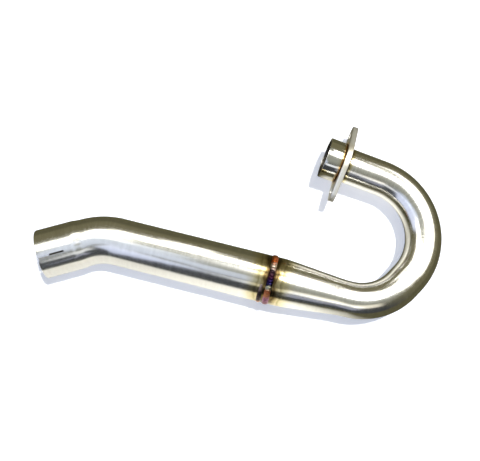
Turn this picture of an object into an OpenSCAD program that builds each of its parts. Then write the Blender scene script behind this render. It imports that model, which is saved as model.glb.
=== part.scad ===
// Motorcycle exhaust header: the welded stainless pipe between the cylinder
// head's exhaust port and the mid pipe of a single-cylinder off-road bike.
// It lies as it comes to rest on a bench. X runs along the long straight of the
// rear tube, +X toward the U-bend, +Y toward the port end, and +Z is up.
// The origin is the centre of the bounding box, at the level of the bench.
// Each tube is built as a tube bender makes it: straight, twist, bend, straight.

/* [Front tube] */
// Outer diameter of the front tube
front_od = 38.1; // [32:0.1:46]
// Wall thickness of both tubes
tube_wall = 1.2; // [0.8:0.1:2]
// Plain end of the front tube before its taper starts
taper_start = 6; // [2:1:12]
// Length of the taper, from the rear tube's diameter down to the front tube's
taper_len = 78; // [50:1:110]
// Length over which each end of the taper is blended
taper_blend = 14; // [4:1:24]
// Twist of the tube before its first bend, which dips it toward the bench
bend_a_twist = -5.3; // [-12:0.1:6]
// Centre-line radius of the first bend
bend_a_radius = 60; // [50:0.5:90]
// Angle of the first bend
bend_a_angle = 59; // [40:0.5:70]
// Straight between the two bends
between_len = 10.5; // [4:0.5:30]
// Twist between the two bends, which lifts the port end again
bend_b_twist = 5.6; // [-6:0.1:12]
// Centre-line radius of the second bend
bend_b_radius = 66.5; // [50:0.5:90]
// Angle of the second bend
bend_b_angle = 115.5; // [90:0.5:125]
// Straight from the second bend to the flange plate's back
port_straight = 41; // [30:0.5:70]

/* [Rear tube] */
// Outer diameter of the rear tube
rear_od = 50.8; // [44:0.1:60]
// Straight from the middle weld to the rear bend
rear_straight = 166; // [100:1:220]
// Centre-line radius of the rear bend
rear_bend_radius = 65; // [50:1:110]
// Angle of the rear bend
rear_bend_angle = 29.5; // [15:0.5:45]
// Bore of the slip socket that the mid pipe goes into
socket_bore = 50.2; // [44:0.1:60]
// Length of the slip socket
socket_len = 44; // [30:1:60]
// Length of the flare between the bend and the socket
flare_len = 5; // [3:0.5:12]
// Width of the clamp slot
slot_width = 1.8; // [1.2:0.1:4]
// Length of the clamp slot
slot_len = 28; // [15:1:35]
// Angle of the clamp slot round the socket, from the bend's inner side
slot_angle = 72; // [0:1:359]

/* [Port end] */
// Outer diameter of the turned port collar
collar_od = 44.5; // [42:0.1:50]
// Length of the port collar in front of the flange plate
collar_len = 18.5; // [8:0.5:30]
// Wall of the collar's mouth
collar_lip = 2; // [1.2:0.1:2.6]
// Depth of the wide mouth, down to the tube's end
mouth_depth = 6; // [3:0.5:12]
// Bevel on the collar's outer front edge
collar_bevel = 0.5; // [0.2:0.1:1]
// Bevel on the collar's outer back edge, which takes its weld
collar_prep = 1.2; // [0.8:0.1:1.6]
// Thickness of the flange plate
plate_t = 5.5; // [4:0.5:8]
// Diameter of the flange plate's round middle
plate_od = 54; // [52:0.5:64]
// Distance between the two stud holes
stud_spacing = 68; // [60:0.5:76]
// Diameter of the stud holes
stud_hole_d = 9; // [7:0.5:11]
// Radius of the plate's rounded ears
ear_r = 11; // [9:0.5:14]
// Roll of the flange plate round the tube
plate_roll = 0; // [-30:0.5:30]

/* [Welds] */
// Gap between the two tubes, filled by the weld's root
root_gap = 0.8; // [0.4:0.1:1.5]
// Width of the middle weld's bead
bead_w = 6.4; // [4:0.1:9]
// Height of the middle weld's bead
bead_h = 1.3; // [0.6:0.1:2]
// Number of ripples round the middle weld
bead_ripples = 46; // [24:1:80]
// Width of the short second run beside the middle weld
tail_w = 5; // [3:0.1:7]
// Height of the second run
tail_h = 1; // [0.4:0.1:1.6]
// Distance from the middle weld to the second run
tail_offset = 7.4; // [6.5:0.1:14]
// Angles round the tube between which the second run lies, 0 is up, 90 is +Y
tail_from = -100; // [-180:1:0]
// End of the second run
tail_to = -22; // [-90:1:90]
// Leg of the fillet weld behind the flange plate
fillet_leg = 2.2; // [1:0.1:3.5]
// How far the collar's weld stands proud of its bevel
collar_crown = 0.1; // [0:0.05:0.2]
// Number of ripples round the welds at the flange plate
fillet_ripples = 36; // [20:1:60]

/* [Hidden] */
$fn = 96;

// Room left between pieces that are fitted or fused
fit_gap = 0.02;
// How far a straight length runs into a bend, and how much thicker it is
run_in = 0.3;
hair = 0.01;
front_r = front_od / 2;
rear_r = rear_od / 2;
socket_r = socket_bore / 2 + tube_wall + hair;
collar_r = collar_od / 2;
plate_r = plate_od / 2;
mouth_r = collar_r - collar_lip;

// Where the middle weld's centre lies: its bead's crest touches the bench
weld_x = 42.1;
weld_y = -66.39;
weld_z = rear_r + fit_gap + bead_h;
// Small roll and pitch with which the weld, the socket's end and the flange
// plate's edge all touch the bench
rest_roll = 0.1;
rest_pitch = -0.09;

// How far along a taper's blended S-curve, from 0 to 1
function blended(t, b) =
    t < b ? t * t / (2 * b * (1 - b)) :
    t > 1 - b ? 1 - (1 - t) * (1 - t) / (2 * b * (1 - b)) :
    (t - b / 2) / (1 - b);

// Frames along the tubes: local Z is the tube's centre line, and a bend turns
// the line toward local X
module middle_joint()
    translate([weld_x, weld_y, weld_z])
    rotate([rest_roll, rest_pitch, 0])
    rotate([0, 90, 0])
    children();

module along(len)
    translate([0, 0, len])
    children();

module past_bend(r, angle)
    translate([r, 0, 0])
    rotate([0, angle, 0])
    translate([-r, 0, 0])
    children();

module front_end()
    middle_joint()
    along(root_gap / 2)
    rotate(90 + bend_a_twist)
    children();

module bend_a_start()
    front_end()
    along(taper_start + taper_len)
    children();

module between_start()
    bend_a_start()
    past_bend(bend_a_radius, bend_a_angle)
    rotate(bend_b_twist)
    children();

module bend_b_start()
    between_start()
    along(between_len)
    children();

module port_straight_start()
    bend_b_start()
    past_bend(bend_b_radius, bend_b_angle)
    children();

// The flange plate's back face, with local Z out through the port end
module port_end()
    port_straight_start()
    along(port_straight)
    children();

module rear_end()
    middle_joint()
    rotate([180, 0, 0])
    along(root_gap / 2)
    rotate(90)
    children();

module rear_bend_start()
    rear_end()
    along(rear_straight)
    children();

module socket_start()
    rear_bend_start()
    past_bend(rear_bend_radius, rear_bend_angle)
    children();

// A bent length of tube
module bent_tube(r, bend_r, angle)
    translate([bend_r, 0, 0])
    rotate([-90, 0, 0])
    rotate_extrude(angle = angle, start = 180)
    translate([bend_r, 0])
    difference() {
        circle(r = r);
        circle(r = r - tube_wall);
    }

// A straight or tapered length, turned about its own centre line from a list of
// [length, radius]. Its wall is a hair thicker than a bend's, and it runs on
// into the bend at either end, so that the lengths join in one solid
module turned_tube(outline, into_start = 0, into_end = 0) {
    n = len(outline);
    line = concat(
        [[outline[0][0] - into_start, outline[0][1]]],
        [for (i = [1 : n - 2]) outline[i]],
        [[outline[n - 1][0] + into_end, outline[n - 1][1]]]);
    outer = [for (p = line) [p[1] + hair, p[0]]];
    inner = [for (i = [n - 1 : -1 : 0]) [line[i][1] - tube_wall - hair, line[i][0]]];
    rotate_extrude()
        polygon(concat(outer, inner));
}

// The front tube in one piece: tapered end, two bends in slightly different
// planes, and the straight that passes through the flange plate
module front_tube() color("silver") {
    steps = 6;
    b = taper_blend / taper_len;
    // Closely spaced where the outline curves, one long step where it is straight
    stations = concat(
        [for (i = [0 : steps]) b * i / steps],
        [for (i = [0 : steps]) 1 - b + b * i / steps]);
    taper = [for (t = stations)
        [taper_start + t * taper_len, rear_r + (front_r - rear_r) * blended(t, b)]];
    port_len = port_straight + plate_t + collar_len - mouth_depth;
    front_end()
        turned_tube(concat([[0, rear_r]], taper), 0, run_in);
    bend_a_start()
        bent_tube(front_r, bend_a_radius, bend_a_angle);
    between_start()
        turned_tube([[0, front_r], [between_len, front_r]], run_in, run_in);
    bend_b_start()
        bent_tube(front_r, bend_b_radius, bend_b_angle);
    port_straight_start()
        turned_tube([[0, front_r], [port_len, front_r]], run_in, 0);
}

// The rear tube: long straight, bend, and the slip socket with its clamp slot
module rear_tube() color("silver") {
    end = flare_len + socket_len;
    rear_end()
        turned_tube([[0, rear_r], [rear_straight, rear_r]], 0, run_in);
    rear_bend_start()
        bent_tube(rear_r, rear_bend_radius, rear_bend_angle);
    socket_start()
        difference() {
            turned_tube([[0, rear_r], [flare_len, socket_r], [end, socket_r]], run_in, 0);
            rotate(slot_angle)
                translate([0, -slot_width / 2, end - slot_len])
                cube([socket_r + 1, slot_width, slot_len + 1]);
        }
}

// The turned collar that seats in the exhaust port, slipped over the tube's end
module port_collar() color("gainsboro")
    port_end()
    along(plate_t + fit_gap)
    rotate_extrude()
    polygon([
        [front_r + fit_gap, 0],
        [collar_r - collar_prep, 0],
        [collar_r, collar_prep],
        [collar_r, collar_len - collar_bevel],
        [collar_r - collar_bevel, collar_len],
        [mouth_r, collar_len],
        [mouth_r, collar_len - mouth_depth + fit_gap],
        [front_r + fit_gap, collar_len - mouth_depth + fit_gap]]);

// The flange plate: a round middle with straight flanks to two ears
module flange_plate() color("silver") {
    port_end()
        rotate(plate_roll)
        difference() {
            linear_extrude(plate_t)
                hull() {
                    circle(r = plate_r);
                    for (side = [-1, 1])
                        translate([side * stud_spacing / 2, 0])
                        circle(r = ear_r);
                }
            translate([0, 0, -1])
                cylinder(h = plate_t + 2, r = front_r + fit_gap + hair);
            for (side = [-1, 1])
                translate([side * stud_spacing / 2, 0, -1])
                cylinder(h = plate_t + 2, d = stud_hole_d);
        }
}

// A closed ring, or an arc with two ends, from one outline [radius, length] for
// each angle
module swept_bead(outlines, angles, closed) {
    rows = len(angles);
    cols = len(outlines[0]);
    points = [for (i = [0 : rows - 1]) for (p = outlines[i])
        [p[0] * cos(angles[i]), p[0] * sin(angles[i]), p[1]]];
    last = closed ? rows - 1 : rows - 2;
    skin = [for (i = [0 : last]) for (j = [0 : cols - 1])
        let (a = i * cols, c = ((i + 1) % rows) * cols, k = (j + 1) % cols)
        each [[a + j, a + k, c + k], [a + j, c + k, c + j]]];
    caps = closed ? [] : [
        [for (j = [cols - 1 : -1 : 0]) j],
        [for (j = [0 : cols - 1]) (rows - 1) * cols + j]];
    polyhedron(points = points, faces = concat(skin, caps), convexity = 6);
}

// Height of a rippled bead at one angle and place across it: the ripples bow
// forward in the middle, as a weld pool leaves them
function ripple(angle, count, u) = 0.84 + 0.16 * cos(count * angle + 100 * u * u);

// The butt weld that joins the two tubes: a rippled crown, and the root between
// the tube ends
module middle_weld() color("peru") {
    step = 360 / (bead_ripples * 3);
    across = 3;
    bed = rear_r + fit_gap;
    root = root_gap / 2 - fit_gap;
    angles = [for (i = [0 : bead_ripples * 3 - 1]) i * step];
    middle_joint()
        swept_bead([for (a = angles) concat(
            [for (j = [-across : across])
                let (u = j / across)
                [bed + bead_h * (1 - u * u) * ripple(a, bead_ripples, u),
                 bead_w / 2 * (u + 0.05 * cos(bead_ripples * a / 2))]],
            [[bed, root], [rear_r - tube_wall, root], [rear_r - tube_wall, -root], [bed, -root]])],
            angles, true);
}

// A short second run beside the middle weld, low on the side away from the port
module second_weld_run() color("peru") {
    step = 2;
    across = 3;
    edge = 0.1;
    bed = rear_r + fit_gap;
    angles = [for (a = [tail_from : step : tail_to]) a];
    middle_joint()
        along(-tail_offset)
        rotate([0, 180, 0])
        swept_bead([for (a = angles)
            let (t = (a - tail_from) / (tail_to - tail_from), swell = 0.25 + 0.75 * sqrt(sin(180 * t)))
            [for (j = [-across : across])
                let (u = j / across)
                [bed + edge + tail_h * swell * (1 - u * u) * ripple(a, bead_ripples, u),
                 tail_w / 2 * u * swell]]],
            angles, false);
}

// A rippled weld in the corner between a flat face and a round or bevelled one
// that stands at the given angle, with local Z away from the flat face
module corner_weld(r, leg, spread) {
    step = 360 / (fillet_ripples * 3);
    face = 3;
    root = fit_gap * (1 + cos(spread)) / sin(spread);
    angles = [for (i = [0 : fillet_ripples * 3 - 1]) i * step];
    swept_bead([for (a = angles)
        let (size = leg * (0.92 + 0.08 * cos(fillet_ripples * a)))
        concat([[r + root, fit_gap]],
            [for (j = [0 : face])
                let (q = spread * j / face)
                [r + root + size * cos(q), fit_gap + size * sin(q)]])],
        angles, true);
}

// The fillet weld behind the flange plate
module flange_weld() color("peru")
    port_end()
    rotate([180, 0, 0])
    corner_weld(front_r, fillet_leg, 90);

// The small weld in the bevel between the collar and the flange plate
module collar_weld() color("peru")
    port_end()
    along(plate_t)
    corner_weld(collar_r - collar_prep, collar_prep + collar_crown, 45);

port_collar();
collar_weld();
flange_plate();
flange_weld();
front_tube();
middle_weld();
second_weld_run();
rear_tube();
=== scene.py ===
import math

import bpy
from mathutils import Matrix, Vector, noise
from mathutils.geometry import tessellate_polygon


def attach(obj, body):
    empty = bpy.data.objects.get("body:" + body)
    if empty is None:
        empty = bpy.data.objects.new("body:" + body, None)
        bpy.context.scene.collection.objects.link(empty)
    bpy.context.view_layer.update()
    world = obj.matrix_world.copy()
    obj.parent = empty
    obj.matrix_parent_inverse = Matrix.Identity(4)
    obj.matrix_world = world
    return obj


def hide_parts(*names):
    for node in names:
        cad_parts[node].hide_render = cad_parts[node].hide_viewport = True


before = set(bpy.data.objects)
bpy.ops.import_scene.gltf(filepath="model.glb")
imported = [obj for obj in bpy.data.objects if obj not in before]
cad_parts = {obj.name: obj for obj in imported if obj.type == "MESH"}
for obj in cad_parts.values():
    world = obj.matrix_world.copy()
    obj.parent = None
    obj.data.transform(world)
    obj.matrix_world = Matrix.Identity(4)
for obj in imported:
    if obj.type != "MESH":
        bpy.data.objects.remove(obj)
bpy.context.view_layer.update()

# The object's lengths are in millimetres, the stage's in metres, and angles in degrees
MM = 0.001

# Front tube: tapered end, two bends and the straight through the plate
FRONT_R = 19.05
REAR_R = 25.4
WALL = 1.2
TAPER_START = 6
TAPER_LEN = 78
TAPER_BLEND = 14 / TAPER_LEN
BEND_A_TWIST = -5.3
BEND_A_RADIUS = 60
BEND_A_ANGLE = 59
BETWEEN_LEN = 10.5
BEND_B_TWIST = 5.6
BEND_B_RADIUS = 66.5
BEND_B_ANGLE = 115.5
PORT_STRAIGHT = 41

# Rear tube: long straight, bend, flare and slotted slip socket
REAR_STRAIGHT = 166
REAR_BEND_RADIUS = 65
REAR_BEND_ANGLE = 29.5
SOCKET_R = 26.31
SOCKET_LEN = 44
FLARE_LEN = 5
# The punch draws the flare out softly, over a longer stretch than in the CAD solid
FLARE_EASE = 12
SLOT_WIDTH = 1.8
SLOT_LEN = 28
SLOT_ANGLE = 72

# Port collar and flange plate, and the gaps between a piece and the one it sits on
COLLAR_R = 22.25
COLLAR_LEN = 18.5
COLLAR_LIP = 2
COLLAR_PREP = 1.2
MOUTH_DEPTH = 6
PLATE_T = 5.5
PLATE_R = 27
STUD_SPACING = 68
STUD_HOLE_R = 4.5
EAR_R = 11
FIT_GAP = 0.02
PLATE_GAP = 0.03

# Welds
ROOT_GAP = 0.8
BEAD_W = 6.4
BEAD_H = 1.3
BEAD_RIPPLES = 46
TAIL_W = 5
TAIL_H = 1
TAIL_OFFSET = 7.4
TAIL_FROM = -100
TAIL_TO = -22
FILLET_LEG = 2.2
FILLET_RIPPLES = 36

# Meshes: length of tube between rings (less in the flare), columns round a tube and
# round the collar, rounding of a tube's rim and of an edge, the angle from which an
# edge stays sharp, the margin that counts a point of the wall as bore, and the
# difference that two places in a comparison may have
RING_STEP = 2
FLARE_STEP = 0.5
COLUMNS = 144
COLLAR_COLUMNS = 192
RIM = 0.3
EDGE = 0.35
SHARP_FROM = 38
BORE_MARGIN = 0.05
SLACK = 0.01

# The small welds at the plate tint a quarter as much of the tube as the middle weld
PLATE_HEAT = 4.0


# Frames along the tubes: local Z is the tube's centre line, and a bend turns the
# line toward local X
def along(length):
    return Matrix.Translation((0, 0, length))


def spin(angle, axis="Z"):
    return Matrix.Rotation(math.radians(angle), 4, axis)


def past_bend(radius, angle):
    centre = Matrix.Translation((radius, 0, 0))
    return centre @ spin(angle, "Y") @ centre.inverted()


# The middle weld as the part lies at rest, with its line from the rear tube to the front
LIE = spin(-0.09, "Y") @ spin(0.1, "X")
WELD = Matrix.Translation((42.1, -66.39, 26.72)) @ LIE @ spin(90, "Y")
FRONT_END = WELD @ along(ROOT_GAP / 2) @ spin(90 + BEND_A_TWIST)
BEND_A = FRONT_END @ along(TAPER_START + TAPER_LEN)
BETWEEN = BEND_A @ past_bend(BEND_A_RADIUS, BEND_A_ANGLE) @ spin(BEND_B_TWIST)
BEND_B = BETWEEN @ along(BETWEEN_LEN)
PORT_RUN = BEND_B @ past_bend(BEND_B_RADIUS, BEND_B_ANGLE)
PORT_END = PORT_RUN @ along(PORT_STRAIGHT)
REAR_END = WELD @ spin(180, "X") @ along(ROOT_GAP / 2) @ spin(90)
REAR_BEND = REAR_END @ along(REAR_STRAIGHT)
SOCKET = REAR_BEND @ past_bend(REAR_BEND_RADIUS, REAR_BEND_ANGLE)


# Meshes

def finished_piece(name, points, faces, marks, materials, node, in_bore=None):
    """A smooth mesh from points in millimetres, dressed, which hides its CAD node and
    stands in for it. A second material covers the faces whose points all lie in the bore."""
    mesh = bpy.data.meshes.new(name)
    mesh.from_pydata([p * MM for p in points], [], faces)
    for label, values in marks.items():
        kind = "FLOAT" if isinstance(values[0], float) else "FLOAT_VECTOR"
        key = "value" if kind == "FLOAT" else "vector"
        layer = mesh.attributes.new(label, kind, "POINT")
        flat = values if kind == "FLOAT" else [c for v in values for c in v]
        layer.data.foreach_set(key, flat)
    mesh.shade_smooth()
    mesh.set_sharp_from_angle(angle=math.radians(SHARP_FROM))
    for material in materials:
        mesh.materials.append(material)
    if in_bore:
        inner = [in_bore(p) for p in marks["unrolled"]]
        mesh.polygons.foreach_set("material_index", [int(all(inner[v] for v in f)) for f in faces])
    piece = bpy.data.objects.new(name, mesh)
    bpy.context.scene.collection.objects.link(piece)
    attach(piece, "root")
    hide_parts(node)


def steps(start, end, size):
    """Even places from start to end, about size apart."""
    count = max(2, math.ceil(abs(end - start) / size))
    return [start + (end - start) * i / count for i in range(count + 1)]


def around(count):
    """Even angles round a full turn."""
    return [360 * j / count for j in range(count)]


def straight(start, length, distance, first=0.0):
    """Rings along a straight: frame and distance from the tube's end."""
    return [(start @ along(z), distance + z) for z in steps(first, length, RING_STEP)]


def bent(start, radius, angle, distance):
    """Rings round a bend, with its first and last left to the straights beside it."""
    size = math.degrees(RING_STEP / radius)
    places = steps(0, angle, size)[1:-1]
    return [(start @ past_bend(radius, a), distance + math.radians(a) * radius) for a in places]


def rim_profile(wall):
    """How a cut tube end goes from its outside to its inside: [back, in]."""
    arc = (0, 0.52, 1.05, math.pi / 2)
    corner = [(RIM * (1 - math.sin(q)), RIM * (1 - math.cos(q))) for q in arc]
    return corner + [(back, wall - inward) for back, inward in reversed(corner)]


def tube_rings(run, radius_at):
    """The closed section of a tube wall: outside, far rim, inside, near rim."""
    (first, start), (last, end) = run[0], run[-1]
    rim = rim_profile(WALL)
    middle = [ring for ring in run if start + RIM < ring[1] < end - RIM]
    out = [(f, radius_at(s), s) for f, s in middle]
    far = [(last @ along(-back), radius_at(end) - inward, end - back) for back, inward in rim]
    inside = [(f, r - WALL, s) for f, r, s in reversed(out)]
    rim.reverse()
    near = [(first @ along(back), radius_at(start) - inward, start + back) for back, inward in rim]
    return out, far, inside, near


def skin(rings, angles, left_open=None):
    """Points and faces of rings joined in a closed loop, and each point's unrolled
    place: where it would be if the tube were straight, which the finishes follow."""
    rows, cols = len(rings), len(angles)
    points, unrolled = [], []
    for ring_frame, radius, distance in rings:
        for a in angles:
            flat = (radius * math.cos(math.radians(a)), radius * math.sin(math.radians(a)))
            points.append(ring_frame @ Vector((*flat, 0)))
            unrolled.append((*flat, distance))
    faces = []
    for i in range(rows):
        for j in range(cols):
            if left_open and left_open(i, j):
                continue
            k, m = (i + 1) % rows, (j + 1) % cols
            faces.append((i * cols + j, i * cols + m, k * cols + m, k * cols + j))
    return points, faces, unrolled


def taper_radius(distance):
    """Outer radius of the front tube, which a swaging die blends at both ends."""
    t = min(max((distance - TAPER_START) / TAPER_LEN, 0), 1)
    b = TAPER_BLEND
    if t < b:
        share = t * t / (2 * b * (1 - b))
    elif t > 1 - b:
        share = 1 - (1 - t) * (1 - t) / (2 * b * (1 - b))
    else:
        share = (t - b / 2) / (1 - b)
    return REAR_R + (FRONT_R - REAR_R) * share


def front_pipe(materials):
    """Taper, U-bend and port straight as one run of rings that ends in the collar."""
    bend_a_at = TAPER_START + TAPER_LEN
    between_at = bend_a_at + math.radians(BEND_A_ANGLE) * BEND_A_RADIUS
    bend_b_at = between_at + BETWEEN_LEN
    port_at = bend_b_at + math.radians(BEND_B_ANGLE) * BEND_B_RADIUS
    plate_at = port_at + PORT_STRAIGHT
    port_len = PORT_STRAIGHT + PLATE_T + COLLAR_LEN - MOUTH_DEPTH
    # Past the second twist the columns turn back, so that they run on in line
    back = spin(-BEND_B_TWIST)
    run = (
        straight(FRONT_END, bend_a_at, 0)
        + bent(BEND_A, BEND_A_RADIUS, BEND_A_ANGLE, bend_a_at)
        + straight(BETWEEN, BETWEEN_LEN, between_at)
        + bent(BEND_B, BEND_B_RADIUS, BEND_B_ANGLE, bend_b_at)
        + straight(PORT_RUN, port_len, port_at))
    run = [(f @ back if s >= between_at else f, s) for f, s in run]
    rings = sum(tube_rings(run, taper_radius), [])
    points, faces, unrolled = skin(rings, around(COLUMNS))
    marks = {
        "unrolled": unrolled,
        "from_weld": [min(p[2], abs(p[2] - plate_at) * PLATE_HEAT) for p in unrolled],
    }
    finished_piece("front_pipe", points, faces, marks, materials, "front_tube",
                   lambda p: math.hypot(p[0], p[1]) < taper_radius(p[2]) - WALL + BORE_MARGIN)


def socket_radius(distance):
    """Outer radius of the rear tube, which a punch flares out for the slip socket."""
    flare_at = REAR_STRAIGHT + math.radians(REAR_BEND_ANGLE) * REAR_BEND_RADIUS
    t = min(max((distance - flare_at) / FLARE_EASE, 0), 1)
    return REAR_R + (SOCKET_R - REAR_R) * t * t * (3 - 2 * t)


def rear_pipe(materials):
    """Straight, bend, flare and slotted socket as one run of rings."""
    socket_at = REAR_STRAIGHT + math.radians(REAR_BEND_ANGLE) * REAR_BEND_RADIUS
    end = FLARE_LEN + SOCKET_LEN
    slot_at = socket_at + end - SLOT_LEN
    # The flare has close rings, and the socket's own rings start 1 mm past it
    run = (
        straight(REAR_END, REAR_STRAIGHT, 0)
        + bent(REAR_BEND, REAR_BEND_RADIUS, REAR_BEND_ANGLE, REAR_STRAIGHT)
        + [(SOCKET @ along(z), socket_at + z) for z in steps(0, FLARE_EASE, FLARE_STEP)]
        + straight(SOCKET, end - SLOT_LEN, socket_at, FLARE_EASE + 1)
        + straight(SOCKET, end, socket_at, end - SLOT_LEN + RING_STEP))
    out, far, inside, near = tube_rings(run, socket_radius)
    rings = out + far + inside + near
    # The last column is as wide as the saw cut, so that its cell can be left out
    half = math.degrees(math.asin(SLOT_WIDTH / 2 / SOCKET_R))
    cols = COLUMNS
    angles = [SLOT_ANGLE + half + (360 - 2 * half) * j / (cols - 1) for j in range(cols)]
    cut = [i for i, ring in enumerate(rings) if ring[2] >= slot_at - SLACK]
    first, last = cut[0], cut[-1]
    points, faces, unrolled = skin(
        rings, angles, lambda i, j: j == cols - 1 and first <= i < last)
    # Walls of the cut, from the outer skin to the inner one
    for a, b in zip(range(first, (first + last) // 2), range(last, first, -1)):
        for j, turn in ((0, 1), (cols - 1, -1)):
            faces.append([i * cols + j for i in (a, a + 1, b - 1, b)][::turn])
    corners = ((first, 0), (last, 0), (last, cols - 1), (first, cols - 1))
    faces.append([i * cols + j for i, j in corners])
    marks = {"unrolled": unrolled, "from_weld": [float(p[2]) for p in unrolled]}
    finished_piece("rear_pipe", points, faces, marks, materials, "rear_tube",
                   lambda p: math.hypot(p[0], p[1]) < socket_radius(p[2]) - WALL + BORE_MARGIN)


def rounded(outline, radius, cuts=3):
    """A closed outline with each corner turned to a small arc."""
    soft = []
    for i, corner in enumerate(outline):
        corner = Vector(corner)
        before = (Vector(outline[i - 1]) - corner).normalized()
        after = (Vector(outline[(i + 1) % len(outline)]) - corner).normalized()
        start, end = corner + before * radius, corner + after * radius
        for k in range(cuts + 1):
            t = k / cuts
            soft.append(start * (1 - t) ** 2 + corner * 2 * t * (1 - t) + end * t * t)
    return soft


def turned_collar(materials):
    """The collar from its lathe outline of [radius, length]."""
    tube = FRONT_R + FIT_GAP
    mouth = COLLAR_R - COLLAR_LIP
    seat = COLLAR_LEN - MOUTH_DEPTH + FIT_GAP
    outline = rounded([
        (tube, 0), (COLLAR_R - COLLAR_PREP, 0), (COLLAR_R, COLLAR_PREP), (COLLAR_R, COLLAR_LEN),
        (mouth, COLLAR_LEN), (mouth, seat), (tube, seat)], EDGE)
    start = PORT_END @ along(PLATE_T + FIT_GAP)
    rings = [(start @ along(z), r, z) for r, z in outline]
    points, faces, unrolled = skin(rings, around(COLLAR_COLUMNS))
    marks = {"unrolled": unrolled, "from_weld": [float(p[2]) for p in unrolled]}
    # Of the collar, only the wall and the floor of its mouth count as bore, and take the bore's
    # colour, painted dark as shade
    finished_piece("turned_collar", points, faces, marks, materials, "port_collar",
                   lambda p: math.hypot(p[0], p[1]) < mouth + SLACK and p[2] > seat - 1)


def plate_outline(grow):
    """The oval plate's edge: a round middle with straight flanks to two ears."""
    half = STUD_SPACING / 2
    lean = math.degrees(math.acos((PLATE_R - EAR_R) / half))
    middle_r, ear_r = PLATE_R + grow, EAR_R + grow
    middle_step, ear_step = 4, 6
    edge = []
    for side, x in ((0, half), (180, -half)):
        edge += [(a + side, x, ear_r) for a in steps(-lean, lean, ear_step)]
        edge += [(a + side, 0, middle_r) for a in steps(lean, 180 - lean, middle_step)]
    return [Vector((x + r * math.cos(math.radians(a)), r * math.sin(math.radians(a))))
            for a, x, r in edge]


def circle(radius, x=0.0, count=96):
    """Points of a hole's edge, with its centre at x."""
    places = [math.tau * j / count for j in range(count)]
    return [Vector((x + radius * math.cos(a), radius * math.sin(a))) for a in places]


def stud_plate(material):
    """The plate from levels of [height, growth of the outline], with three holes."""
    corner = EDGE * 0.3
    levels = [(0, -EDGE), (corner, -corner), (EDGE, 0),
              (PLATE_T - EDGE, 0), (PLATE_T - corner, -corner), (PLATE_T, -EDGE)]
    half = STUD_SPACING / 2
    loops = [
        [plate_outline(g) for _, g in levels],
        [circle(FRONT_R + PLATE_GAP - g) for _, g in levels],
        [circle(STUD_HOLE_R - g, half, 48) for _, g in levels],
        [circle(STUD_HOLE_R - g, -half, 48) for _, g in levels]]
    points, faces, unrolled = [], [], []
    rims = {0: [], PLATE_T: []}
    for n, stack in enumerate(loops):
        for (z, _), loop in zip(levels, stack):
            base = len(points)
            points += [PORT_END @ Vector((*p, z)) for p in loop]
            unrolled += [(p.x, p.y, z) for p in loop]
            if z in rims:
                rims[z].append((base, loop))
            if z > 0:
                count = len(loop)
                for j in range(count):
                    k = (j + 1) % count
                    quad = [base - count + j, base - count + k, base + k, base + j]
                    faces.append(quad if n == 0 else quad[::-1])
    for z, rim in rims.items():
        index = [base + j for base, loop in rim for j in range(len(loop))]
        flat = tessellate_polygon([[Vector((*p, 0)) for p in loop] for _, loop in rim])
        for tri in flat:
            corners = [index[t] for t in tri]
            a, b, c = (Vector(unrolled[v][:2]) for v in corners)
            upward = (b - a).cross(c - a) > 0
            faces.append(corners if upward == (z > 0) else corners[::-1])
    from_weld = [math.hypot(p[0], p[1]) - FRONT_R for p in unrolled]
    marks = {"unrolled": unrolled, "from_weld": from_weld}
    finished_piece("stud_plate", points, faces, marks, [material], "flange_plate")


def swept_bead(name, start, angles, outline_at, closed, material, node):
    """A weld bead: one outline of [radius, length] for each angle round the joint."""
    outlines = [outline_at(a) for a in angles]
    rows, cols = len(angles), len(outlines[0])
    points, turn, unrolled = [], [], []
    for a, outline in zip(angles, outlines):
        c, s = math.cos(math.radians(a)), math.sin(math.radians(a))
        for radius, z in outline:
            points.append(start @ Vector((radius * c, radius * s, z)))
            turn.append((a % 360) / 360)
            unrolled.append((radius * c, radius * s, z))
    faces = []
    for i in range(rows if closed else rows - 1):
        for j in range(cols):
            k, m = (i + 1) % rows, (j + 1) % cols
            faces.append((i * cols + j, i * cols + m, k * cols + m, k * cols + j))
    if not closed:
        faces.append(list(range(cols))[::-1])
        faces.append([(rows - 1) * cols + j for j in range(cols)])
    marks = {"unrolled": unrolled, "turn": turn}
    finished_piece(name, points, faces, marks, [material], node)


def dimes(angle, count, u):
    """Share of a bead's height at an angle round the joint and u, -1 to 1, across
    it: overlapping round ripples that bow forward, and aren't quite even."""
    turn = math.radians(angle)
    bow, uneven = 0.45, 0.25
    wander = uneven * noise.noise(Vector((math.cos(turn), math.sin(turn), 0)) * 9)
    phase = count * angle / 360 + bow * u * u + wander
    valley, crest = 0.55, 0.45
    return valley + crest * abs(math.sin(math.pi * phase)) ** 0.6


def middle_bead(material):
    """The butt weld round both tubes, with its root in the gap between their ends."""
    bed = REAR_R + FIT_GAP
    root = ROOT_GAP / 2 - FIT_GAP
    across = 10
    sections_per_ripple = 14

    def outline_at(a):
        # Each ripple bulges a little at the bead's edge, and the crown is nearly round
        lobe = 0.07 * abs(math.sin(math.radians(BEAD_RIPPLES * a / 2)))
        crown = []
        for j in range(-across, across + 1):
            u = j / across
            swell = (1 - abs(u) ** 2.2) * dimes(a, BEAD_RIPPLES, u)
            crown.append((bed + BEAD_H * swell, BEAD_W / 2 * u * (0.96 + lobe)))
        under = [(bed, root), (REAR_R - WALL, root), (REAR_R - WALL, -root), (bed, -root)]
        return crown + under

    angles = around(BEAD_RIPPLES * sections_per_ripple)
    swept_bead("middle_bead", WELD, angles, outline_at, True, material, "middle_weld")


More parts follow.
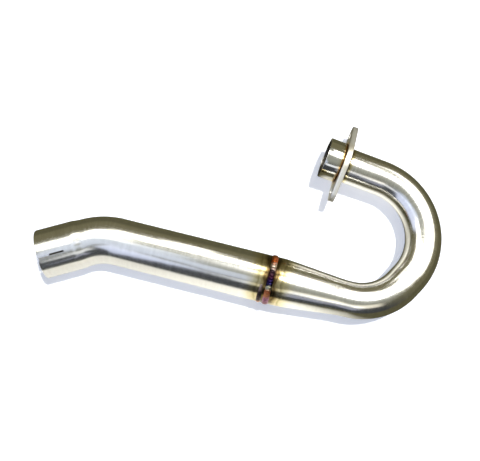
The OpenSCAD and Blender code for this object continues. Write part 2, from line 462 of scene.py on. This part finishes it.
def second_bead(material):
    """The short second run of weld beside the middle bead."""
    lift = 0.1
    bed = REAR_R + FIT_GAP + lift
    across = 8
    section_step = 0.5

    def outline_at(a):
        # The run starts and ends a quarter as wide and high as in its middle
        t = (a - TAIL_FROM) / (TAIL_TO - TAIL_FROM)
        swell = 0.25 + 0.75 * math.sqrt(max(math.sin(math.pi * t), 0))
        crown = []
        for j in range(-across, across + 1):
            u = j / across
            crown.append((bed + TAIL_H * swell * (1 - u * u) * dimes(a, BEAD_RIPPLES, u),
                          TAIL_W / 2 * u * swell))
        return crown

    angles = steps(TAIL_FROM, TAIL_TO, section_step)
    start = WELD @ along(-TAIL_OFFSET) @ spin(180, "Y")
    swept_bead("second_bead", start, angles, outline_at, False, material, "second_weld_run")


def corner_bead(name, start, radius, leg, spread, material, node):
    """A rippled weld in the corner between a flat face and one at the spread angle."""
    wide = math.radians(spread)
    root = FIT_GAP * (1 + math.cos(wide)) / math.sin(wide)
    across = 6
    sections_per_ripple = 10

    def outline_at(a):
        outline = [(radius + root, FIT_GAP)]
        for j in range(across + 1):
            q = wide * j / across
            u = 2 * j / across - 1
            size = leg * (0.84 + 0.32 * (dimes(a, FILLET_RIPPLES, u) - 0.5))
            outline.append((radius + root + size * math.cos(q), FIT_GAP + size * math.sin(q)))
        return outline

    angles = around(FILLET_RIPPLES * sections_per_ripple)
    swept_bead(name, start, angles, outline_at, True, material, node)


# Materials

def linear(colour):
    """Linear red, green, blue and alpha from an sRGB hex value."""
    parts = [int(colour[i:i + 2], 16) / 255 for i in (1, 3, 5)]
    return [c / 12.92 if c <= 0.04045 else ((c + 0.055) / 1.055) ** 2.4 for c in parts] + [1.0]


def add_node(tree, kind, settings):
    """One node. Each setting is a ramp's stops, a socket to link to an input, an
    input's value or a property of the node."""
    node = tree.nodes.new(kind)
    for name, value in settings.items():
        if name == "stops":
            elements = node.color_ramp.elements
            while len(elements) < len(value):
                elements.new(0.5)
            for stop, (place, colour) in zip(elements, value):
                stop.position = place
                stop.color = linear(colour)
        elif isinstance(value, bpy.types.NodeSocket):
            tree.links.new(value, node.inputs[name])
        elif isinstance(name, int) or name in node.inputs:
            node.inputs[name].default_value = value
        else:
            setattr(node, name, value)
    return node


def mark(tree, name, output):
    """One of the marks that the mesh carries on its points."""
    return add_node(tree, "ShaderNodeAttribute", {"attribute_name": name}).outputs[output]


def stretched(tree, place, sizes):
    """A place counted in steps of three sizes, in millimetres."""
    scale = [1 / size for size in sizes]
    return add_node(tree, "ShaderNodeMapping", {"Scale": scale, "Vector": place}).outputs[0]


def grain(tree, place, scale, detail, roughness=0.5):
    """Noise from 0 to 1."""
    return add_node(tree, "ShaderNodeTexNoise", {
        "Scale": scale, "Detail": detail, "Roughness": roughness, "Vector": place}).outputs["Fac"]


def relief(tree, height, metres, over=None):
    """A bump as deep as metres where the height is 1, over another bump if given."""
    settings = {"Strength": 1.0, "Distance": metres, "Height": height}
    if over is not None:
        settings["Normal"] = over
    return add_node(tree, "ShaderNodeBump", settings).outputs[0]


def remap(tree, value, to=(0.0, 1.0), of=(0.0, 1.0)):
    """A value that goes through one range, moved to another and kept in it."""
    return add_node(tree, "ShaderNodeMapRange", {
        "From Min": of[0], "From Max": of[1], "To Min": to[0], "To Max": to[1],
        "Value": value}).outputs[0]


def ramp(tree, value, stops):
    return add_node(tree, "ShaderNodeValToRGB", {"stops": stops, "Fac": value}).outputs[0]


def reckon(tree, operation, first, second):
    return add_node(tree, "ShaderNodeMath", {
        "operation": operation, 0: first, 1: second}).outputs[0]


def mixed(tree, share, first, second, blend="MIX"):
    """The first colour, with a share of the second."""
    return add_node(tree, "ShaderNodeMix", {
        "data_type": "RGBA", "blend_type": blend, 0: share, 6: first, 7: second}).outputs[2]


def new_material(name):
    material = bpy.data.materials.new(name)
    material.use_nodes = True
    tree = material.node_tree
    tree.nodes.clear()
    shader = add_node(tree, "ShaderNodeBsdfPrincipled", {"Metallic": 1.0})
    add_node(tree, "ShaderNodeOutputMaterial", {"Surface": shader.outputs[0]})
    return material, tree, shader


def dress(tree, shader, colour, gloss, bump=None):
    """Gives the shader its colour, its roughness and, if there is one, its bump."""
    tree.links.new(colour, shader.inputs["Base Color"])
    tree.links.new(gloss, shader.inputs["Roughness"])
    if bump is not None:
        tree.links.new(bump, shader.inputs["Normal"])


def satin_stainless():
    """Drawn stainless tube, 304 grade, belt-polished round its girth: a soft mirror
    with fine streaks across it, tinted brown and straw where the welds heated it."""
    material, tree, shader = new_material("satin_stainless")
    place, heat = mark(tree, "unrolled", "Vector"), mark(tree, "from_weld", "Fac")

    # A 180-grit belt leaves lines 0.1 mm apart, drawn 1.3 mm apart to show at all
    line_mm, sweep_mm = 1.3, 22
    lines = grain(tree, stretched(tree, place, (sweep_mm, sweep_mm, line_mm)), 1.0, 3.0, 0.65)
    # The drawn tube's own faint waviness, some 35 mm long
    waves = grain(tree, place, 1 / 35, 1.0)
    fine = relief(tree, lines, 0.000022)
    wavy = relief(tree, waves, 0.00035, fine)
    gloss = remap(tree, lines, to=(0.13, 0.25))
    steel = ramp(tree, lines, [(0.3, "#D2D0CB"), (0.7, "#DEDDD8")])

    # Temper colours follow the oxide's thickness, so they run in bands beside the
    # bead, and wander with the welder's pace. The ramp covers the first 30 mm
    tint_mm, wander_mm = 30.0, 5.0
    pace = grain(tree, place, 1 / 11, 2.0)
    wander = remap(tree, pace, to=(-wander_mm, wander_mm))
    share = reckon(tree, "DIVIDE", reckon(tree, "ADD", heat, wander), tint_mm)
    tint = ramp(tree, share, [
        (0.00, "#3A2618"), (0.06, "#5A4426"), (0.095, "#33261C"), (0.14, "#72603A"),
        (0.18, "#54442A"), (0.24, "#A09066"), (0.34, "#C2B692"), (0.40, "#A69A70"),
        (0.47, "#C4BA94"), (0.62, "#D4CDB4"), (0.95, "#DCDAD4")])
    fade = remap(tree, share, to=(1.0, 0.0), of=(0.6, 1.0))
    dress(tree, shader, mixed(tree, fade, steel, tint), gloss, wavy)
    return material


def mill_finish_bore_painted_dark():
    """Inside of the drawn tube, left as the mill made it: dull and streaked along its
    length. It is painted dark grey, as painted shade, so that the open ends look dark."""
    material, tree, shader = new_material("mill_finish_bore_painted_dark")
    place = mark(tree, "unrolled", "Vector")
    # Drawing streaks 1.5 mm apart and some 60 mm long
    apart_mm, long_mm = 1.5, 60
    streaks = grain(tree, stretched(tree, place, (apart_mm, apart_mm, long_mm)), 1.0, 2.0)
    # These dark greys are painted shade inside the tube, darker than the steel's own grey
    colour = ramp(tree, streaks, [(0.35, "#35322E"), (0.65, "#514D46")])
    gloss = remap(tree, streaks, to=(0.38, 0.55))
    dress(tree, shader, colour, gloss)
    return material


def turned_stainless():
    """Collar turned on a lathe from stainless bar: bright, with fine tool marks round
    it, and browned where its back edge was welded."""
    material, tree, shader = new_material("turned_stainless")
    place, heat = mark(tree, "unrolled", "Vector"), mark(tree, "from_weld", "Fac")
    # A finishing cut feeds 0.1 mm a turn, drawn as marks 0.9 mm apart and 50 mm long
    feed_mm, long_mm = 0.9, 50
    marks = grain(tree, stretched(tree, place, (long_mm, long_mm, feed_mm)), 1.0, 2.0)
    bump = relief(tree, marks, 0.00001)
    gloss = remap(tree, marks, to=(0.06, 0.16))
    tint_mm = 10.0
    tint = ramp(tree, reckon(tree, "DIVIDE", heat, tint_mm), [
        (0.00, "#3A2210"), (0.10, "#7A4E1E"), (0.20, "#C29A5C"), (0.34, "#DAD4C2"),
        (0.6, "#DEDDD9")])
    dress(tree, shader, tint, gloss, bump)
    return material


def cut_plate_stainless():
    """Plate cut from sheet and linished: duller than the tube, with short scratches,
    and browned round its bore, where it was welded."""
    material, tree, shader = new_material("cut_plate_stainless")
    place, heat = mark(tree, "unrolled", "Vector"), mark(tree, "from_weld", "Fac")
    # Linishing scratches some 12 mm long, drawn 0.8 mm apart (2 mm on the edge)
    long_mm, apart_mm, edge_mm = 12, 0.8, 2
    scratch = grain(tree, stretched(tree, place, (long_mm, apart_mm, edge_mm)), 1.0, 3.0)
    bump = relief(tree, scratch, 0.00002)
    gloss = remap(tree, scratch, to=(0.38, 0.52))
    tint_mm = 12.0
    tint = ramp(tree, reckon(tree, "DIVIDE", heat, tint_mm), [
        (0.0, "#6E4A26"), (0.3, "#C2A266"), (0.6, "#D2CDBF"), (0.9, "#D6D5D0")])
    dress(tree, shader, tint, gloss, bump)
    return material


def heat_coloured_weld(name, stops):
    """Weld metal as it cooled in air: bands of oxide colour over the ripples, whose
    stops go once round the joint, with specks and scale."""
    material, tree, shader = new_material(name)
    place, turn = mark(tree, "unrolled", "Vector"), mark(tree, "turn", "Fac")
    # The bands' borders drift by parts of a turn, in blots of some 4 mm
    drift_turns = 0.035
    blot = grain(tree, place, 1 / 4, 3.0)
    drift = remap(tree, blot, to=(-drift_turns, drift_turns))
    oxide = ramp(tree, reckon(tree, "ADD", turn, drift), stops)
    # Silica specks and scale, about 0.8 mm across
    specks = grain(tree, place, 1 / 0.8, 2.0)
    scale_colour = ramp(tree, specks, [(0.35, "#6B5648"), (0.6, "#FFFFFF")])
    colour = mixed(tree, 0.6, oxide, scale_colour, "MULTIPLY")
    gloss = remap(tree, specks, to=(0.2, 0.42))
    bump = relief(tree, specks, 0.00006)
    dress(tree, shader, colour, gloss, bump)
    return material


# Stage

# Paper colours: the dim olive and the cream shine are painted reflections that only polished metal
# sees
PAPER = "#F2F1EE"
PAPER_PAINTED_DIM_FOR_METAL = "#5E5B45"
CREAM_SHINE = "#FFFBEC"
LAVENDER_GLOW = "#DCE5FF"
ROOM_OLIVE = "#7C775A"
ROOM_GREY = "#46494C"
ROOM_TOP = "#A6A89C"


def shining(tree, colour, strength):
    return add_node(tree, "ShaderNodeEmission", {
        "Color": linear(colour), "Strength": strength}).outputs[0]


def white_table():
    """A sheet of white paper wider than any view. The camera sees it white, with
    lavender shadows. Polished metal sees painted reflections of it: white with a painted cream
    shine on the near side of the header and inside the U-bend, and painted dim olive elsewhere."""
    mesh = bpy.data.meshes.new("white_table")
    side = 4.0
    mesh.from_pydata([(-side, -side, 0), (side, -side, 0), (side, side, 0), (-side, side, 0)], [],
                     [(0, 1, 2, 3)])
    material = bpy.data.materials.new("white_paper")
    material.use_nodes = True
    tree = material.node_tree
    tree.nodes.clear()
    ray = add_node(tree, "ShaderNodeLightPath", {}).outputs
    place = add_node(tree, "ShaderNodeNewGeometry", {}).outputs["Position"]
    radius = add_node(tree, "ShaderNodeVectorMath", {
        "operation": "LENGTH", 0: place}).outputs["Value"]
    across = add_node(tree, "ShaderNodeSeparateXYZ", {0: place}).outputs
    # Two areas of the sheet where metal sees a painted cream shine
    # Outside: in front of y = -0.08 m, and left of x = 0.12 m
    depth = remap(tree, across["Y"], of=(-0.2, 0.2))
    near_side = ramp(tree, depth, [(0.27, "#FFFFFF"), (0.33, "#000000")])
    left = remap(tree, across["X"], to=(1.0, 0.0), of=(0.08, 0.17))
    outside = reckon(tree, "MULTIPLY", near_side, left)
    # Inside the U-bend: y from 0.02 to 0.11 m, and x from 0.07 to 0.16 m
    within = ramp(tree, depth, [
        (0.50, "#000000"), (0.60, "#FFFFFF"), (0.75, "#FFFFFF"), (0.79, "#000000")])
    width = remap(tree, across["X"], of=(0.0, 0.2))
    bay = ramp(tree, width, [
        (0.32, "#000000"), (0.40, "#FFFFFF"), (0.76, "#FFFFFF"), (0.84, "#000000")])
    inside = reckon(tree, "MULTIPLY", within, bay)
    shown = reckon(tree, "MAXIMUM", outside, inside)
    # Outside both areas, metal sees the paper painted dim olive: a painted reflection
    dim = reckon(tree, "SUBTRACT", 1.0, shown)
    mirrored = reckon(tree, "MULTIPLY", dim, ray["Is Glossy Ray"])
    colour = mixed(tree, mirrored, linear(PAPER), linear(PAPER_PAINTED_DIM_FOR_METAL))
    paper = add_node(tree, "ShaderNodeBsdfDiffuse", {"Color": colour}).outputs[0]
    # For the camera, a glow tints the shadows near the header and grows past 0.3 m
    far = remap(tree, radius, to=(0.56, 1.2), of=(0.3, 1.2))
    glow = shining(tree, LAVENDER_GLOW, reckon(tree, "MULTIPLY", ray["Is Camera Ray"], far))
    # For the metal, a painted cream shine on the sheet, seen only in reflections, is strongest
    # inside the U-bend and dulls toward the socket
    bright = remap(tree, across["X"], to=(0.12, 0.75), of=(-0.12, 0.10))
    sheen = reckon(tree, "MULTIPLY", shown, bright)
    painted_shine = shining(tree, CREAM_SHINE, reckon(tree, "MULTIPLY", sheen, ray["Is Glossy Ray"]))
    lit = add_node(tree, "ShaderNodeAddShader", {0: paper, 1: painted_shine}).outputs[0]
    both = add_node(tree, "ShaderNodeAddShader", {0: lit, 1: glow}).outputs[0]
    add_node(tree, "ShaderNodeOutputMaterial", {"Surface": both})
    mesh.materials.append(material)
    table = bpy.data.objects.new("white_table", mesh)
    bpy.context.scene.collection.objects.link(table)


def room():
    """The dim room round the table: olive, but grey on the near side and paler
    overhead. It is white where the camera looks past the table."""
    world = bpy.data.worlds.new("room")
    bpy.context.scene.world = world
    world.use_nodes = True
    tree = world.node_tree
    tree.nodes.clear()
    ray = add_node(tree, "ShaderNodeLightPath", {}).outputs
    toward = add_node(tree, "ShaderNodeTexCoord", {}).outputs["Generated"]
    near = add_node(tree, "ShaderNodeVectorMath", {
        "operation": "DOT_PRODUCT", 0: toward, 1: (-0.1, -1, 0)}).outputs["Value"]
    side = remap(tree, near, of=(0.0, 0.6))
    walls = mixed(tree, side, linear(ROOM_OLIVE), linear(ROOM_GREY))
    height = add_node(tree, "ShaderNodeSeparateXYZ", {0: toward}).outputs["Z"]
    above = remap(tree, height, of=(0.60, 0.92))
    whole = mixed(tree, above, walls, linear(ROOM_TOP))
    seen = mixed(tree, ray["Is Camera Ray"], whole, (1, 1, 1, 1))
    sky = add_node(tree, "ShaderNodeBackground", {"Color": seen, "Strength": 1.0}).outputs[0]
    add_node(tree, "ShaderNodeOutputWorld", {"Surface": sky})


def soft_light(name, matrix, width, height, radiance, colour):
    """A flat soft light, in metres, that only polished metal sees, as bright in it
    as a surface of that radiance."""
    light = bpy.data.lights.new(name, "AREA")
    light.shape = "RECTANGLE"
    light.size = width
    light.size_y = height
    light.energy = radiance * math.pi * width * height
    light.color = linear(colour)[:3]
    box = bpy.data.objects.new(name, light)
    box.matrix_world = matrix
    box.visible_camera = False
    box.visible_diffuse = False
    bpy.context.scene.collection.objects.link(box)


def overhead(name, x, y, radiance, colour, height=0.7):
    """A level softbox above the table, from its x and y ranges."""
    middle = Matrix.Translation(((x[0] + x[1]) / 2, (y[0] + y[1]) / 2, height))
    soft_light(name, middle, x[1] - x[0], y[1] - y[0], radiance, colour)


def softbox(name, azimuth, zenith, width, height, radiance, colour, distance=1.4):
    """A softbox that faces the U-bend. Azimuth is from +X toward +Y, zenith is down
    from overhead, and sizes are angles as seen from the U-bend."""
    aim = Matrix.Translation((0.13, 0, 0.03))
    turn = aim @ spin(azimuth) @ spin(zenith, "Y") @ along(distance)
    span = [2 * distance * math.tan(math.radians(angle / 2)) for angle in (height, width)]
    soft_light(name, turn, *span, radiance, colour)


def key_lamp():
    """A small lamp far above, beyond the U-bend, whose shadow falls toward the viewer
    and a little to the left. It is the one lamp that the paper sees."""
    light = bpy.data.lights.new("key_lamp", "SUN")
    light.energy = 3.0
    light.angle = math.radians(3)
    lamp = bpy.data.objects.new("key_lamp", light)
    lamp.rotation_mode = "QUATERNION"
    lamp.rotation_quaternion = Vector((-0.204, -0.218, -1)).to_track_quat("-Z", "Y")
    bpy.context.scene.collection.objects.link(lamp)


def camera():
    """Looks down on the table from almost overhead, turned a little to the right."""
    target = Vector((-1.93, -21.45, 20.0)) * MM
    distance = 680.36 * MM
    azimuth, elevation = math.radians(14.13), math.radians(78.56)
    lens = bpy.data.cameras.new("camera")
    lens.sensor_width = 36
    focal_px, image_px = 628.5, 480
    lens.lens = focal_px / image_px * lens.sensor_width
    viewer = bpy.data.objects.new("camera", lens)
    level = math.cos(elevation)
    back = Vector((math.sin(azimuth) * level, -math.cos(azimuth) * level, math.sin(elevation)))
    viewer.location = target + back * distance
    viewer.rotation_mode = "QUATERNION"
    viewer.rotation_quaternion = (-back).to_track_quat("-Z", "Y")
    bpy.context.scene.collection.objects.link(viewer)
    bpy.context.scene.camera = viewer


# The bore's finish is painted dark, as painted shade inside the tubes
bore_finish_painted_dark = mill_finish_bore_painted_dark()
tube_finish = satin_stainless()
front_pipe([tube_finish, bore_finish_painted_dark])
rear_pipe([tube_finish, bore_finish_painted_dark])
turned_collar([turned_stainless(), bore_finish_painted_dark])
stud_plate(cut_plate_stainless())

# Oxide colours round the middle weld, with its top at the middle of the ramp: copper
# on the far side and a pale spot, dark violet and blue over the top, then a pale spot,
# copper, and plum toward the viewer
ring_colours = heat_coloured_weld("ring_weld", [
    (0.00, "#7A4A30"), (0.22, "#8A5436"), (0.30, "#D0793C"), (0.395, "#BC5E2E"),
    (0.42, "#D0BCAA"), (0.44, "#A08C80"), (0.462, "#2E2428"), (0.50, "#2C1420"),
    (0.53, "#1B1232"), (0.556, "#151730"), (0.575, "#A0A088"), (0.595, "#A05C3C"),
    (0.625, "#B07450"), (0.66, "#9A6A84"), (0.72, "#7A4A5A"), (0.85, "#7A4A30")])
# The small welds at the plate are brown all round
small_colours = heat_coloured_weld("small_weld", [
    (0.00, "#54402E"), (0.25, "#362A24"), (0.5, "#76583A"), (0.75, "#3E2E24"), (1.0, "#54402E")])
middle_bead(ring_colours)
# The short run cooled duller: pale at its upper end, nearly black, then peach
second_bead(heat_coloured_weld("second_weld", [
    (0.70, "#D8B09A"), (0.77, "#B4805E"), (0.80, "#3A2C26"), (0.88, "#2C2628"), (0.92, "#8E7C78"),
    (0.95, "#C8BCB6")]))
corner_bead("plate_bead", PORT_END @ spin(180, "X"), FRONT_R, FILLET_LEG, 90,
            small_colours, "flange_weld")
corner_bead("collar_bead", PORT_END @ along(PLATE_T), COLLAR_R - COLLAR_PREP, COLLAR_PREP + 0.1, 45,
            small_colours, "collar_weld")

white_table()
room()

# The lamps' images are the bands along the tubes. First the white bands: softboxes low
# above the far side of the header, from the rear tube to the port
WARM_WHITE = "#FFFDF6"
LOW = 0.38
for name, x, y in (
        ("left_low_softbox", (-0.34, -0.24), (0.08, 0.20)),
        ("low_softbox", (-0.24, -0.13), (0.09, 0.31)),
        ("right_low_softbox", (-0.13, -0.04), (0.10, 0.33)),
        ("far_low_softbox", (-0.15, -0.08), (0.33, 0.58)),
        ("taper_softbox", (0.04, 0.12), (0.12, 0.24)),
        ("bend_softbox", (0.12, 0.15), (0.12, 0.24)),
        ("right_bend_softbox", (0.15, 0.30), (0.11, 0.19)),
        ("port_softbox", (0.13, 0.24), (0.24, 0.36))):
    overhead(name, x, y, 4.0, WARM_WHITE, height=LOW)
# Wider ones for the socket and for the U-bend's outer side
overhead("left_softbox", (-0.85, -0.28), (-0.12, 0.21), 3.0, "#FFFEFA")
overhead("right_softbox", (0.50, 1.20), (0.02, 1.20), 3.0, WARM_WHITE)
# Dim windows on the near side for the lavender bands, and a small bright softbox on
# the far side for the glints on the middle weld
SKY_BLUE = "#C9D6F8"
overhead("left_window", (-0.34, -0.12), (-0.45, -0.02), 0.90, SKY_BLUE)
overhead("weld_softbox", (-0.05, 0.04), (0.12, 0.27), 9.0, WARM_WHITE, height=0.37)
overhead("blue_window", (-0.12, 0.02), (-0.55, -0.24), 0.85, SKY_BLUE)
overhead("near_window", (-0.05, 0.50), (-0.95, -0.62), 1.20, "#F0F3F8")
overhead("port_window", (0.28, 0.60), (-2.00, -1.05), 0.70, "#CDD2EC")
# Lower lamps on the near side: a wide lavender one, and a small warm one
softbox("near_softbox", 215, 58, 60, 42, 1.3, "#D9E2FF")
softbox("warm_lamp", 300, 47, 26, 18, 1.1, "#FFF8E6", distance=0.8)
key_lamp()
camera()

bpy.context.scene.view_settings.view_transform = "Standard"
